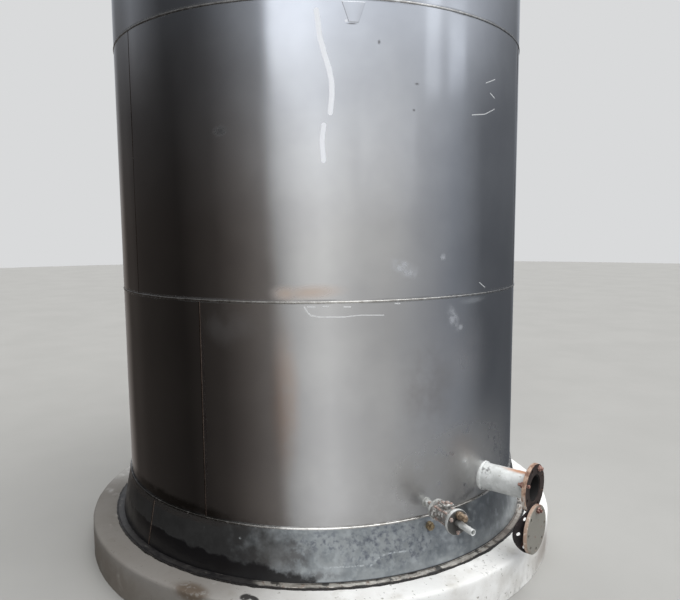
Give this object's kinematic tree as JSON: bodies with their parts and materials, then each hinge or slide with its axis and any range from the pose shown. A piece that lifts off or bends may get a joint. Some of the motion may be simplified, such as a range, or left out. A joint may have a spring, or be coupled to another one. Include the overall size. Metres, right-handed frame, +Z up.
{
  "type": "agitated stainless steel tank",
  "caption": "Upright round stainless steel tank on a whitewashed concrete plinth, with a top agitator drive, an open flanged nozzle with its blind flange hanging, and a small flanged valve.",
  "frame": {"origin": "on the tank's axis, at the underside of the plinth", "axes": "+Z up along the tank's axis, +X the way the large open nozzle points, its axis 60 mm to the -Y side"},
  "size_m": [2.706, 2.612, 5.1555],
  "materials": {
    "stainless": "2B mill finish, dusty",
    "stained_stainless": "matt, mottled with dirt and black drips",
    "whitewashed_concrete": "whitewash over cast concrete, stained",
    "silver_paint": "silver paint with rust streaks",
    "rusty_steel": "rusted steel",
    "valve_steel": "worn grey paint",
    "bronze": "dull bronze",
    "brass": "tarnished brass",
    "rubber": "dusty sheet rubber",
    "bridge_steel": "grey primer",
    "drive_paint": "grey-blue machine enamel",
    "cowl_paint": "black enamel"
  },
  "bodies": {
    "root": {"agitator_shaft": "stainless", "base_band_1": "stained_stainless", "base_band_2": "stained_stainless", "base_band_3": "stained_stainless", "bridge_beam_1": "bridge_steel", "bridge_beam_2": "bridge_steel", "concrete_plinth": "whitewashed_concrete", "drain_plug": "brass", "drive_base_plate": "bridge_steel", "drive_lantern": "drive_paint", "drive_neck": "stainless", "floor_plate": "stained_stainless", "gearbox": "drive_paint", "hanging_blind_flange": "rusty_steel", "hanging_bolt": "rusty_steel", "impeller": "stainless", "lifting_lug_1": "stainless", "lifting_lug_2": "stainless", "loose_gasket": "rubber", "lower_course_sheet_1": "stainless", "lower_course_sheet_2": "stainless", "lower_course_sheet_3": "stainless", "manway_lid": "stainless", "manway_neck": "stainless", "middle_course_sheet_1": "stainless", "middle_course_sheet_2": "stainless", "middle_course_sheet_3": "stainless", "motor": "drive_paint", "motor_fan_cowl": "cowl_paint", "motor_terminal_box": "drive_paint", "nozzle_flange": "rusty_steel", "nozzle_pipe": "silver_paint", "roof_cone": "stainless", "roof_vent": "stainless", "shaft_coupling": "valve_steel", "top_curb_ring": "stainless", "upper_course_sheet_1": "stainless", "upper_course_sheet_2": "stainless", "upper_course_sheet_3": "stainless", "valve_body": "valve_steel", "valve_inlet_stub": "silver_paint", "valve_outlet_flange": "silver_paint", "valve_outlet_pipe": "silver_paint", "valve_side_plug": "bronze"}
  },
  "joints": []
}
